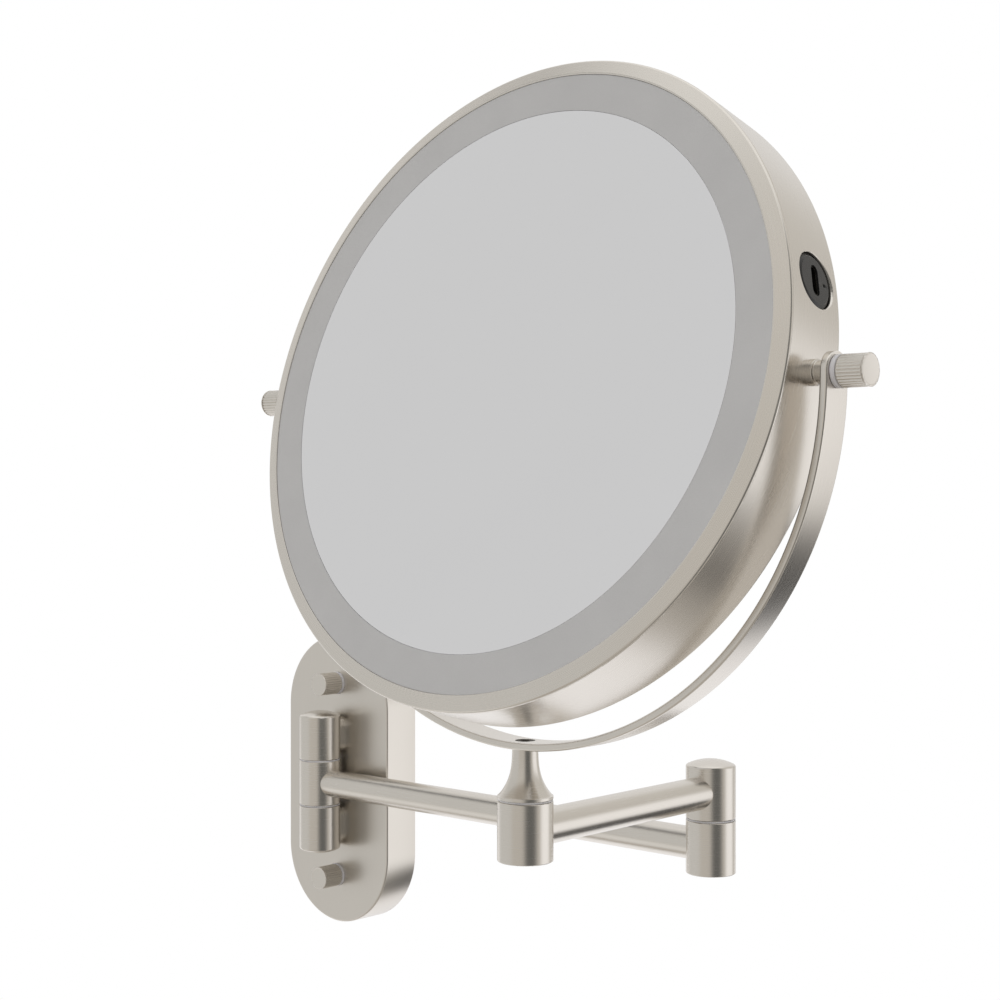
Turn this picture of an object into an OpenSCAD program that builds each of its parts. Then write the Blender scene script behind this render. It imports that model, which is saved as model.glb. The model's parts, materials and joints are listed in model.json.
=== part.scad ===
// Extendable double-sided mirror on two swinging arms, for a bathroom wall.
// The wall is the plane Y = 0, the mirror stands out towards -Y, and +Z is up.
// The origin is the middle of the wall bracket's back face.

/* [Wall plate] */
// Height of the cover on the wall
cover_len = 122; // [110:1:160]
// Width of the cover
cover_w = 61.6; // [54:0.2:80]
// Depth of the cover, from the wall to its face
cover_depth = 16.4; // [14:0.2:24]
// Sheet thickness of the cover
cover_wall = 1.6; // [1.2:0.1:2.4]
// Chamfer round the cover's face
cover_edge = 0.6; // [0.2:0.1:1.1]
// Height of each stud above or below the middle
stud_z = 41; // [39:0.5:50]
// Diameter of the studs that hold the cover
stud_d = 5; // [4:0.5:6]
// Diameter of the knurled cover nuts
nut_d = 9.4; // [8:0.2:13]
// Length of the knurled cover nuts
nut_len = 9.7; // [7:0.1:14]
// Thickness of the nylon ring under each cover nut
nut_ring_t = 1; // [0.6:0.1:2]

/* [Wall bracket] */
// Height of the bracket
bracket_len = 104; // [98:1:107]
// Width of the bracket
bracket_w = 36; // [24:1:44]
// Thickness of the bracket
bracket_t = 2; // [1.5:0.1:3]
// Distance between the two wall screws
wall_screw_pitch = 50; // [40:1:60]
// Diameter of the wall screw holes
wall_screw_d = 4.8; // [4:0.1:6]

/* [Arms] */
// Distance from the wall hinge to the elbow
inner_arm_len = 202; // [140:1:260]
// Distance from the elbow to the post
outer_arm_len = 96.5; // [60:0.5:200]
// Outer diameter of both arm tubes
tube_d = 11.2; // [8:0.1:13]
// Wall of both arm tubes
tube_wall = 1.5; // [1:0.1:2.5]
// Outer diameter of every hinge barrel
barrel_d = 17.2; // [15.6:0.1:22]
// Height of every hinge barrel
barrel_h = 18.4; // [16:0.1:26]
// Chamfer on the ends of a barrel
barrel_edge = 0.4; // [0.2:0.1:0.8]
// Rise of the domed barrel ends
dome_h = 1.9; // [1:0.1:3]
// Thickness of the nylon washers between barrels
washer_t = 0.6; // [0.3:0.1:1.5]
// Gap between the hinge barrels and the cover's face
hinge_gap = 1.2; // [0.6:0.1:3]
// Diameter of the hinge pin and the elbow pin
pin_d = 6; // [4:0.5:8]
// Diameter of the spindle under the yoke
spindle_d = 7; // [5:0.5:9]
// Diameter of the screws that fix the hinge to the cover
knuckle_screw_d = 4; // [3:0.5:5]

/* [Post and yoke] */
// Height of the flared post between its washer and the yoke
post_h = 15.2; // [10:0.1:30]
// Diameter of the post's neck
neck_d = 8; // [7:0.1:9.6]
// Height of the post's flange
flange_h = 1; // [0.6:0.1:2.5]
// Gap between the head's rim and the yoke
yoke_gap = 5.4; // [4.6:0.1:12]
// Thickness of the yoke band
yoke_t = 2.4; // [1.8:0.1:4]
// Width of the yoke band
yoke_w = 10.8; // [9:0.1:16]
// Diameter of the screw that holds the yoke to the post
yoke_screw_d = 4; // [3:0.5:4.5]
// Diameter of each knob
knob_d = 9; // [7.6:0.1:10.6]
// Length of each knob
knob_len = 8.3; // [6:0.1:14]
// Thickness of the nylon washer under each knob
knob_washer_t = 1.5; // [0.6:0.1:2.5]
// Diameter of the threaded shank on each knob
shank_d = 4; // [3:0.5:5]
// Flutes round each knob and cover nut
flutes = 28; // [20:1:36]
// Depth of the flutes
flute_depth = 0.35; // [0.2:0.05:0.6]

/* [Mirror head] */
// Outer diameter of the head
head_d = 203; // [165:1:245]
// Depth of the head between the outer edges of its bezels
head_depth = 24.4; // [23.4:0.2:30]
// Wall of the rim
rim_wall = 1.3; // [1:0.1:2]
// Width of each bezel, seen from the front
bezel_w = 5.15; // [4:0.05:7]
// How far a bezel rises from its outer edge to the glass
bezel_rise = 1.4; // [0.6:0.1:2]
// Width of the frosted light ring
light_w = 11.7; // [8:0.1:16]
// Thickness of the glass and of the light rings
glass_t = 3; // [2:0.1:3.4]
// Depth of the magnifying mirror's hollow
magnifier_depth = 5.1; // [2:0.1:5.4]
// Tilt of the head up from vertical
head_tilt = 15; // [0:1:60]

/* [Charge port] */
// Angle of the charge port above the pivot
port_angle = 15.3; // [13:0.1:30]
// Distance of the port behind the middle of the rim
port_back = 1; // [0:0.1:1.5]
// Diameter of the port's hole in the rim
port_d = 16.4; // [14:0.1:16.6]

/* [Hidden] */

$fn = 96;

// Clearances, each on the radius
run_clear = 0.05;
press_clear = 0.01;
free_clear = 0.3;
face_clear = 0.05;

// Places of the three upright axes
barrel_r = barrel_d / 2;
hinge_y = -(cover_depth + hinge_gap + barrel_r);
post_y = hinge_y - outer_arm_len;

// Heights: the inner arm's barrels are centred on Z = 0 and the outer arm's sit above them
low_top = barrel_h / 2;
high_base = low_top + washer_t;
high_top = high_base + barrel_h;
inner_arm_z = 0;
outer_arm_z = (high_base + high_top) / 2;
post_base = high_top + washer_t;
post_top = post_base + post_h;
head_r = head_d / 2;
yoke_in_r = head_r + yoke_gap;
yoke_out_r = yoke_in_r + yoke_t;
head_z = post_top + yoke_out_r;

// Pins, and the retaining screws in the undersides of the elbow and the post
pin_seat = 14;
recess_d = 12;
recess_h = 4.4;
retainer_d = 4;
retainer_head_d = 8;
retainer_head_h = 2.2;
retainer_grip = 7;
spring_washer_d = 11;
spring_washer_t = 1;

// Cover, its studs and the screws behind the hinge
knuckle_foot_w = 10;
knuckle_foot_inset = 1.2;
knuckle_head_d = 8;
knuckle_head_h = 2.4;
knuckle_grip = 5;
standoff_d = 9;
stud_end = cover_depth + nut_ring_t + nut_len - 2.4;

// Knobs
knob_cap_h = 0.7;
knob_in = yoke_out_r + face_clear + knob_washer_t;

// Mirror head, along the axis that leaves the glass
edge_z = head_depth / 2;
rim_z = edge_z - 0.8;
crown_z = edge_z + bezel_rise;
glass_z = crown_z - 0.3;
glass_back = glass_z - glass_t;
glass_r = head_r - bezel_w;
mirror_r = glass_r - light_w;
rim_in_r = head_r - rim_wall;
ledge_w = 2.9;
ledge_t = 1;
slide_clear = 0.05;
backing_r = mirror_r + 1.2;
backing_t = 1.6;
backing_z = glass_back - 0.1;
core_out_r = rim_in_r - 2;
core_in_r = backing_r - 1.9;
core_z = 4.5;
web_t = 1.5;
led_board_t = 1;
led_in_r = core_in_r + 3.5;
led_out_r = core_out_r - 1.2;
led_count = 36;
screw_ring_r = mirror_r - 14.6;
web_in_r = screw_ring_r - 18;
backing_screw_d = 2.5;
backing_screw_count = 6;
magnifier_r = (mirror_r * mirror_r + magnifier_depth * magnifier_depth) / (2 * magnifier_depth);
magnifier_c = magnifier_depth - glass_z - magnifier_r;
insert_d = shank_d + 3.2;
insert_len = 9;
insert_out = core_out_r - 1.2;
shank_in = insert_out - 5;

// Electrics
battery_size = [62, 44, 6];
board_len = 46;
board_w = 18;
board_t = 1;
socket_w = 8.94;
socket_h = 3.26;
socket_len = 8.6;
socket_wall = 0.35;
plate_gap = 0.12;
port_plate_r = port_d / 2 - 0.12;
port_plate_in = core_out_r;
port_face = head_r - 0.4;
board_top = -port_back - socket_h / 2;
board_end = port_plate_in - 0.4;
sensor_d = 12;

nickel = [0.74, 0.71, 0.67];
steel = [0.62, 0.62, 0.63];
brass = [0.78, 0.64, 0.36];
nylon = [0.86, 0.86, 0.88];
silver = [0.80, 0.81, 0.82];
frosted = [0.70, 0.70, 0.70];
black = [0.08, 0.08, 0.09];
white = [0.93, 0.93, 0.92];

// ---- Places ----

// Turns X, Y, Z into right, up and away from the wall, starting a distance off the wall
module off_wall(distance = 0) translate([0, -distance, 0]) rotate([90, 0, 0]) children();
module at_hinge() translate([0, hinge_y, 0]) children();
module at_elbow() translate([inner_arm_len, hinge_y, 0]) children();
module at_post() translate([inner_arm_len, post_y, 0]) children();
module at_head() translate([inner_arm_len, post_y, head_z]) children();
// Local X is the pivot axis, local Z leaves the front glass
module in_head() at_head() rotate([90 - head_tilt, 0, 0]) children();
// Local Z leaves the head along the pivot, to the right (side 1) or the left (side -1)
module on_pivot(side) in_head() rotate([0, 90 * side, 0]) children();
// Local X leaves the head through the charge port
module at_port() in_head() rotate([0, 0, port_angle]) children();

// ---- Repeated shapes ----

module ring(outer_r, inner_r, h) difference() {
    cylinder(h = h, r = outer_r);
    translate([0, 0, -1]) cylinder(h = h + 2, r = inner_r);
}

module stadium(len, w) {
    square([w, len - w], center = true);
    for (s = [-1, 1]) translate([0, s * (len - w) / 2]) circle(d = w);
}

// A stadium slab whose far edge is chamfered
module stadium_slab(len, w, h, edge) {
    linear_extrude(h - edge) stadium(len, w);
    translate([0, 0, h - edge]) {
        for (s = [-1, 1]) translate([0, s * (len - w) / 2, 0])
            cylinder(h = edge, r1 = w / 2, r2 = w / 2 - edge);
        rotate([90, 0, 0]) linear_extrude(len - w, center = true)
            polygon([[-w / 2, 0], [w / 2, 0], [w / 2 - edge, edge], [edge - w / 2, edge]]);
    }
}

module barrel(h) rotate_extrude() polygon([
    [0, 0], [barrel_r - barrel_edge, 0], [barrel_r, barrel_edge],
    [barrel_r, h - barrel_edge], [barrel_r - barrel_edge, h], [0, h]]);

module domed_barrel(h) {
    cap_r = barrel_r - barrel_edge;
    dome_r = (cap_r * cap_r + dome_h * dome_h) / (2 * dome_h);
    barrel(h);
    translate([0, 0, h]) intersection() {
        cylinder(h = dome_h + 1, r = cap_r);
        translate([0, 0, dome_h - dome_r]) sphere(dome_r, $fn = 180);
    }
}

// Round tube along X between two barrels, its ends cut to sit on them
module arm_tube(len) difference() {
    rotate([0, 90, 0]) ring(tube_d / 2, tube_d / 2 - tube_wall, len);
    for (x = [0, len]) translate([x, 0, -barrel_h]) cylinder(h = 2 * barrel_h, r = barrel_r);
}

module fluted(r, h) linear_extrude(h) polygon([
    for (i = [0 : 2 * flutes - 1])
        (i % 2 == 0 ? r : r - flute_depth) * [cos(180 * i / flutes), sin(180 * i / flutes)]]);

// Knurled grip with a plain rim at its outer end, which stands just proud of the flutes
module grip(d, len) {
    fluted(d / 2 - 0.08, len - knob_cap_h + 0.1);
    translate([0, 0, len - knob_cap_h]) cylinder(h = knob_cap_h - 0.2, d = d);
    translate([0, 0, len - 0.2]) cylinder(h = 0.2, d1 = d, d2 = d - 0.4);
}

// Pan head screw pointing up: its head is below Z = 0 and a cross recess is in the head
module screw_up(d, grip_len, head_d, head_h) difference() {
    union() {
        cylinder(h = grip_len, d = d);
        translate([0, 0, -head_h]) cylinder(h = head_h, d = head_d);
    }
    for (a = [0, 90]) rotate([0, 0, a])
        translate([-head_d / 4, -head_d / 20, -head_h - 1]) cube([head_d / 2, head_d / 10, 1 + head_h / 2]);
}

// Recess for a retaining screw in the underside of a barrel
module retainer_recess() translate([0, 0, -1]) cylinder(h = recess_h + 1, d = recess_d);
module retainer_screw() translate([0, 0, recess_h - spring_washer_t - face_clear])
    screw_up(retainer_d, retainer_grip, retainer_head_d, retainer_head_h);
module retainer_washer() translate([0, 0, recess_h - spring_washer_t - face_clear])
    ring(spring_washer_d / 2, retainer_d / 2 + face_clear, spring_washer_t);
module retainer_hole() translate([0, 0, -1]) cylinder(h = retainer_grip + 1, d = retainer_d + 2 * press_clear);

module nylon_washer(hole_d) ring(barrel_r - 0.2, hole_d / 2 + free_clear, washer_t);

// ---- Wall plate ----

module wall_bracket() color(steel) difference() {
    off_wall() linear_extrude(bracket_t) stadium(bracket_len, bracket_w);
    for (s = [-1, 1]) {
        translate([0, 0, s * wall_screw_pitch / 2]) off_wall(-1) cylinder(h = bracket_t + 2, d = wall_screw_d);
        translate([0, 0, s * stud_z]) off_wall(-1) cylinder(h = bracket_t + 2, d = stud_d + 2 * press_clear);
    }
}

module cover_studs() color(steel) for (s = [-1, 1]) translate([0, 0, s * stud_z]) {
    off_wall(0.2) cylinder(h = stud_end - 0.2, d = stud_d);
    off_wall(bracket_t) cylinder(h = cover_depth - cover_wall - bracket_t, d = standoff_d);
}

module wall_cover() color(nickel) difference() {
    off_wall() stadium_slab(cover_len, cover_w, cover_depth, cover_edge);
    off_wall(-1) linear_extrude(1 + cover_depth - cover_wall)
        stadium(cover_len - 2 * cover_wall, cover_w - 2 * cover_wall);
    for (s = [-1, 1]) {
        translate([0, 0, s * stud_z]) off_wall() cylinder(h = cover_depth + 1, d = stud_d + 2 * free_clear);
        translate([0, 0, s * outer_arm_z]) off_wall() cylinder(h = cover_depth + 1, d = knuckle_screw_d + 2 * free_clear);
    }
}

module nut_rings() color(nylon) for (s = [-1, 1]) translate([0, 0, s * stud_z])
    off_wall(cover_depth) ring(nut_d / 2 + 0.1, stud_d / 2 + free_clear, nut_ring_t);

module cover_nuts() color(nickel) for (s = [-1, 1]) translate([0, 0, s * stud_z])
    off_wall(cover_depth + nut_ring_t) difference() {
        grip(nut_d, nut_len);
        translate([0, 0, -1]) cylinder(h = nut_len - 1, d = stud_d + 2 * press_clear);
    }

// Fixed hinge knuckle above the inner arm's barrel, with its foot on the cover's face
module knuckle() difference() {
    union() {
        translate([0, hinge_y, high_base]) domed_barrel(barrel_h);
        translate([0, 0, outer_arm_z]) off_wall(cover_depth)
            linear_extrude(hinge_gap + barrel_r / 2) stadium(barrel_h - 2 * knuckle_foot_inset, knuckle_foot_w);
    }
    translate([0, hinge_y, high_base - 1]) cylinder(h = pin_seat + 1, d = pin_d + 2 * press_clear);
    translate([0, 0, outer_arm_z]) off_wall(cover_depth - 1)
        cylinder(h = knuckle_grip + 1.3, d = knuckle_screw_d + 2 * press_clear);
}
module upper_knuckle() color(nickel) knuckle();
module lower_knuckle() color(nickel) mirror([0, 0, 1]) knuckle();

module hinge_pin() color(steel) at_hinge() {
    half = high_base + pin_seat - 0.3;
    translate([0, 0, -half]) cylinder(h = 2 * half, d = pin_d);
}

module hinge_washers() color(nylon) for (z = [low_top, -high_base])
    at_hinge() translate([0, 0, z]) nylon_washer(pin_d);

module knuckle_screws() color(steel) for (s = [-1, 1])
    translate([0, 0, s * outer_arm_z]) off_wall(cover_depth - cover_wall)
        screw_up(knuckle_screw_d, cover_wall + knuckle_grip, knuckle_head_d, knuckle_head_h);

// ---- Inner arm ----

module inner_hinge_barrel() color(nickel) at_hinge() difference() {
    translate([0, 0, -low_top]) barrel(barrel_h);
    cylinder(h = 2 * barrel_h, d = pin_d + 2 * run_clear, center = true);
}

module inner_arm_tube() color(nickel) at_hinge() translate([0, 0, inner_arm_z]) arm_tube(inner_arm_len);

module elbow_lower_barrel() color(nickel) at_elbow() difference() {
    translate([0, 0, -low_top]) barrel(barrel_h);
    cylinder(h = 2 * barrel_h, d = pin_d + 2 * run_clear, center = true);
    translate([0, 0, -low_top]) retainer_recess();
}

module elbow_washer() color(nylon) at_elbow() translate([0, 0, low_top]) nylon_washer(pin_d);

// ---- Outer arm ----

module elbow_upper_barrel() color(nickel) at_elbow() translate([0, 0, high_base]) difference() {
    domed_barrel(barrel_h);
    translate([0, 0, -1]) cylinder(h = pin_seat + 1, d = pin_d + 2 * press_clear);
}

module elbow_pin() color(steel) at_elbow() {
    foot = recess_h - low_top - face_clear;
    translate([0, 0, foot]) difference() {
        cylinder(h = high_base + pin_seat - 0.3 - foot, d = pin_d);
        retainer_hole();
    }
}

module elbow_spring_washer() color(steel) at_elbow() translate([0, 0, -low_top]) retainer_washer();
module elbow_screw() color(steel) at_elbow() translate([0, 0, -low_top]) retainer_screw();

module outer_arm_tube() color(nickel) at_elbow() translate([0, 0, outer_arm_z])
    rotate([0, 0, -90]) arm_tube(outer_arm_len);

module post_barrel() color(nickel) at_post() translate([0, 0, high_base]) difference() {
    barrel(barrel_h);
    translate([0, 0, -1]) cylinder(h = barrel_h + 2, d = spindle_d + 2 * run_clear);
    retainer_recess();
}

module post_washer() color(nylon) at_post() translate([0, 0, high_top]) nylon_washer(spindle_d);

// ---- Yoke ----

// The post's flare narrows from the flange to the neck along a power curve
flare_power = 3.1;
flare_steps = 14;
flare_h = post_h - flange_h;
function flare_r(t) = neck_d / 2 + (barrel_r - 0.3 - neck_d / 2) * pow(1 - t, flare_power);

module flared_post() color(nickel) difference() {
    at_post() union() {
        translate([0, 0, post_base]) rotate_extrude() polygon(concat(
            [[0, 0], [barrel_r - 0.4, 0], [barrel_r, 0.3], [barrel_r, flange_h - 0.3], [barrel_r - 0.3, flange_h]],
            [for (i = [1 : flare_steps]) [flare_r(i / flare_steps), flange_h + flare_h * i / flare_steps]],
            [[neck_d / 2, post_h + 0.5], [0, post_h + 0.5]]));
        translate([0, 0, high_base + recess_h - face_clear])
            cylinder(h = post_base - high_base - recess_h + 1, d = spindle_d);
    }
    at_head() rotate([90, 0, 0]) cylinder(h = 3 * yoke_w, r = yoke_out_r, center = true, $fn = 360);
    at_post() translate([0, 0, high_base + recess_h - face_clear]) retainer_hole();
    at_post() translate([0, 0, post_top - 8.2]) cylinder(h = 10, d = yoke_screw_d + 2 * press_clear);
}

module post_spring_washer() color(steel) at_post() translate([0, 0, high_base]) retainer_washer();
module post_screw() color(steel) at_post() translate([0, 0, high_base]) retainer_screw();

yoke_head_d = 5.9;
yoke_head_h = 1.4;

module yoke_band() color(nickel) difference() {
    at_head() union() {
        rotate([-90, 0, 0]) rotate_extrude(angle = 180, $fn = 360)
            translate([yoke_in_r, -yoke_w / 2]) square([yoke_t, yoke_w]);
        for (s = [-1, 1]) intersection() {
            rotate([0, 90 * s, 0]) translate([0, 0, yoke_in_r]) cylinder(h = yoke_t, d = yoke_w);
            translate([0, 0, yoke_w]) cube([3 * yoke_out_r, 3 * yoke_w, 2 * yoke_w], center = true);
        }
    }
    at_head() rotate([0, 90, 0]) cylinder(h = 3 * yoke_out_r, d = shank_d + 2 * run_clear, center = true);
    at_post() translate([0, 0, post_top - 1]) cylinder(h = yoke_t + 2, d = yoke_screw_d + 2 * press_clear);
    at_post() translate([0, 0, post_top + yoke_t - yoke_head_h])
        cylinder(h = yoke_head_h + 1, d = yoke_head_d + 2 * press_clear);
}

module yoke_screw() color(steel) at_post() translate([0, 0, post_top + yoke_t - yoke_head_h]) difference() {
    union() {
        cylinder(h = yoke_head_h - 0.2, d = yoke_head_d);
        translate([0, 0, -8]) cylinder(h = 8, d = yoke_screw_d);
    }
    translate([0, 0, 0.4]) cylinder(h = yoke_head_h, d = 2.9, $fn = 6);
}

// ---- Knobs and pivots ----

module knob(side) on_pivot(side) {
    translate([0, 0, knob_in]) grip(knob_d, knob_len);
    translate([0, 0, shank_in]) cylinder(h = knob_in - shank_in + 1, d = shank_d);
}
module left_knob() color(nickel) knob(-1);
module right_knob() color(nickel) knob(1);

module knob_washer(side) on_pivot(side) translate([0, 0, yoke_out_r + face_clear])
    ring(knob_d / 2, shank_d / 2 + free_clear, knob_washer_t);
module left_knob_washer() color(nylon) knob_washer(-1);
module right_knob_washer() color(nylon) knob_washer(1);

// Turned collar that holds the rim off the yoke, with a spigot through the rim
collar_end = yoke_in_r - 0.15;
collar_r = shank_d / 2 + 1.15;
collar_foot_r = shank_d / 2 + 1.6;
collar_foot_h = 1.9;
spigot_d = shank_d + 2;
module collar(side) on_pivot(side) rotate_extrude() polygon([
    [shank_d / 2 + run_clear, core_out_r + 0.15], [spigot_d / 2, core_out_r + 0.15], [spigot_d / 2, head_r],
    [collar_foot_r, head_r], [collar_foot_r, head_r + collar_foot_h], [collar_r, head_r + collar_foot_h + 0.2],
    [collar_r, collar_end], [shank_d / 2 + run_clear, collar_end]]);
module left_collar() color(nickel) collar(-1);
module right_collar() color(nickel) collar(1);

module pivot_inserts() color(brass) for (s = [-1, 1]) on_pivot(s)
    translate([0, 0, insert_out - insert_len])
        ring(insert_d / 2, shank_d / 2 + press_clear, insert_len);

// ---- Mirror head ----

module head_rim() color(nickel) difference() {
    in_head() translate([0, 0, -rim_z]) rotate_extrude($fn = 360)
        translate([rim_in_r, 0]) square([rim_wall, 2 * rim_z]);
    for (s = [-1, 1]) on_pivot(s) translate([0, 0, core_out_r]) cylinder(h = 10, d = spigot_d + 2 * press_clear);
    at_port() translate([core_out_r, 0, -port_back]) rotate([0, 90, 0]) cylinder(h = 10, d = port_d);
}

// Bezel that caps the rim, slopes up to the glass and carries the light ring on a ledge
module bezel() rotate_extrude($fn = 360) polygon([
    [glass_r - ledge_w, glass_back - ledge_t], [rim_in_r - slide_clear, glass_back - ledge_t],
    [rim_in_r - slide_clear, rim_z], [head_r, rim_z], [head_r, edge_z - 0.2], [head_r - 0.3, edge_z + 0.1],
    [glass_r + 0.5, crown_z], [glass_r + slide_clear, crown_z - 0.1],
    [glass_r + slide_clear, glass_back], [glass_r - ledge_w, glass_back]]);
module front_bezel() color(nickel) in_head() bezel();
module rear_bezel() color(nickel) in_head() mirror([0, 0, 1]) bezel();

module light_ring() translate([0, 0, glass_back]) ring(glass_r, mirror_r + slide_clear, glass_t, $fn = 360);
module front_light_ring() color(frosted) in_head() light_ring();
module rear_light_ring() color(frosted) in_head() mirror([0, 0, 1]) light_ring();

module front_mirror() color(silver) in_head() translate([0, 0, glass_back])
    cylinder(h = glass_t, r = mirror_r, $fn = 360);

// Concave glass of even thickness, deepest in the middle
module rear_mirror() color(silver) in_head() difference() {
    intersection() {
        translate([0, 0, -glass_z]) cylinder(h = glass_z - core_z, r = mirror_r, $fn = 360);
        translate([0, 0, magnifier_c]) sphere(magnifier_r + glass_t, $fn = 360);
    }
    translate([0, 0, magnifier_c]) sphere(magnifier_r, $fn = 360);
}

module backing_holes() for (i = [0 : backing_screw_count - 1])
    rotate([0, 0, 360 * i / backing_screw_count]) translate([screw_ring_r, 0, 0]) children();

module front_backing() color(white) in_head() difference() {
    translate([0, 0, backing_z - backing_t]) cylinder(h = backing_t, r = backing_r, $fn = 180);
    backing_holes() {
        translate([0, 0, backing_z - 5]) cylinder(h = 10, d = backing_screw_d + 2 * press_clear);
        translate([0, 0, backing_z - 1.2]) cylinder(h = 2, d = 2 * backing_screw_d);
    }
    translate([0, -screw_ring_r - 6, backing_z - 0.5]) cylinder(h = 1, d = sensor_d + 0.4);
}

module rear_backing() color(white) in_head() difference() {
    translate([0, 0, -glass_back]) ring(backing_r - 2.4, screw_ring_r - 4, glass_back - core_z);
    translate([0, 0, magnifier_c]) sphere(magnifier_r + glass_t + face_clear, $fn = 360);
}

module touch_sensor() color(black) in_head()
    translate([0, -screw_ring_r - 6, backing_z - 0.45]) cylinder(h = 0.4, d = sensor_d);

module backing_screws() color(steel) in_head() backing_holes() translate([0, 0, backing_z - 1.2]) {
    translate([0, 0, -7]) cylinder(h = 7.1, d = backing_screw_d);
    cylinder(h = 1.1, d = 2 * backing_screw_d - 0.2);
}

// Moulded frame: a ring that carries both light boards, a web, screw posts and ribs to the rim
rib_w = 4;
module core_frame() color(white) difference() {
    in_head() union() {
        translate([0, 0, -core_z]) ring(core_out_r, core_in_r, 2 * core_z);
        translate([0, 0, -core_z]) ring(core_in_r + 1, web_in_r, web_t);
        backing_holes() translate([0, 0, -core_z]) cylinder(h = core_z + backing_z - backing_t, r = 3.5);
        for (a = [30 : 60 : 330]) rotate([0, 0, a]) translate([core_out_r - 1, -rib_w / 2, -core_z])
            cube([rim_in_r - core_out_r + 0.9, rib_w, 2 * core_z]);
    }
    in_head() backing_holes() translate([0, 0, backing_z - 9]) cylinder(h = 12, d = backing_screw_d + 2 * press_clear);
    for (s = [-1, 1]) on_pivot(s) translate([0, 0, insert_out - insert_len - 1])
        cylinder(h = insert_len + 10, d = insert_d + 2 * press_clear);
    at_port() translate([board_end - board_len - 0.5, -board_w / 2 - 1, board_top - board_t])
        cube([board_len + 3, board_w + 2, core_z + 2 + port_back + socket_h]);
}

module led_board() {
    translate([0, 0, core_z]) ring(led_out_r, led_in_r, led_board_t);
    for (i = [0 : led_count - 1]) rotate([0, 0, 360 * (i + 0.5) / led_count])
        translate([(led_in_r + led_out_r) / 2, 0, core_z + led_board_t + 0.3]) cube([2.8, 3.5, 0.8], center = true);
}
module front_led_board() color(white) in_head() led_board();
module rear_led_board() color(white) in_head() mirror([0, 0, 1]) led_board();

// ---- Electrics ----

battery_top = backing_z - backing_t;
module battery() color(silver) at_port()
    translate([-battery_size.x / 2, -battery_size.y / 2, battery_top - battery_size.z]) cube(battery_size);

module battery_leads() color(black) for (y = [-2.5, 2.5]) at_port() {
    start = [battery_size.x / 2 + 0.8, y, battery_top - battery_size.z / 2];
    end = [board_end - board_len - 0.1, y, board_top - board_t / 2 + 0.4];
    run = end - start;
    translate(start) rotate([0, atan2(run.x, run.z), 0]) cylinder(h = norm(run) - 0.4, d = 1.2);
}

module circuit_board() color([0.10, 0.35, 0.20]) at_port()
    translate([board_end - board_len, -board_w / 2, board_top - board_t]) cube([board_len, board_w, board_t]);

// A flat tube with round ends, lying along local X
module flat_tube(w, h, len) rotate([0, 90, 0]) linear_extrude(len) stadium(w, h);

module charge_socket() color(steel) at_port()
    translate([port_face - 0.5 - socket_len, 0, -port_back]) {
        difference() {
            flat_tube(socket_w, socket_h, socket_len);
            translate([2, 0, 0]) flat_tube(socket_w - 2 * socket_wall, socket_h - 2 * socket_wall, socket_len);
        }
        translate([1, -3.3, -0.35]) cube([5.5, 6.6, 0.7]);
    }

module port_plate() color(black) at_port() translate([0, 0, -port_back]) difference() {
    rotate([0, 90, 0]) rotate_extrude() polygon([
        [0, port_plate_in], [port_plate_r, port_plate_in], [port_plate_r, port_face - 0.8],
        [port_plate_r - 1.2, port_face], [0, port_face]]);
    translate([port_plate_in - 1, 0, 0]) flat_tube(socket_w + 2 * plate_gap, socket_h + 2 * plate_gap, 10);
    translate([port_face - 1, 0, -4.5]) rotate([0, 90, 0]) cylinder(h = 3, r = 0.6);
}

wall_bracket();
cover_studs();
wall_cover();
nut_rings();
cover_nuts();
upper_knuckle();
lower_knuckle();
hinge_pin();
hinge_washers();
knuckle_screws();
inner_hinge_barrel();
inner_arm_tube();
elbow_lower_barrel();
elbow_washer();
elbow_upper_barrel();
elbow_pin();
elbow_spring_washer();
elbow_screw();
outer_arm_tube();
post_barrel();
post_washer();
flared_post();
post_spring_washer();
post_screw();
yoke_band();
yoke_screw();
head_rim();
front_bezel();
rear_bezel();
front_light_ring();
rear_light_ring();
front_mirror();
rear_mirror();
front_backing();
rear_backing();
core_frame();
front_led_board();
rear_led_board();
battery();
battery_leads();
circuit_board();
charge_socket();
port_plate();
touch_sensor();
backing_screws();
pivot_inserts();
left_collar();
right_collar();
left_knob();
left_knob_washer();
right_knob();
right_knob_washer();
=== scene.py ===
"""An extendable, double-sided, lit mirror for a bathroom wall, built piece by piece from the wall outwards.

The wall is the plane Y = 0, the mirror stands out towards -Y, and +Z is up. Sizes are in metres.
"""

import json
from math import asin, atan2, cos, pi, radians, sin, sqrt

import bpy
from mathutils import Matrix, Vector


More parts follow.
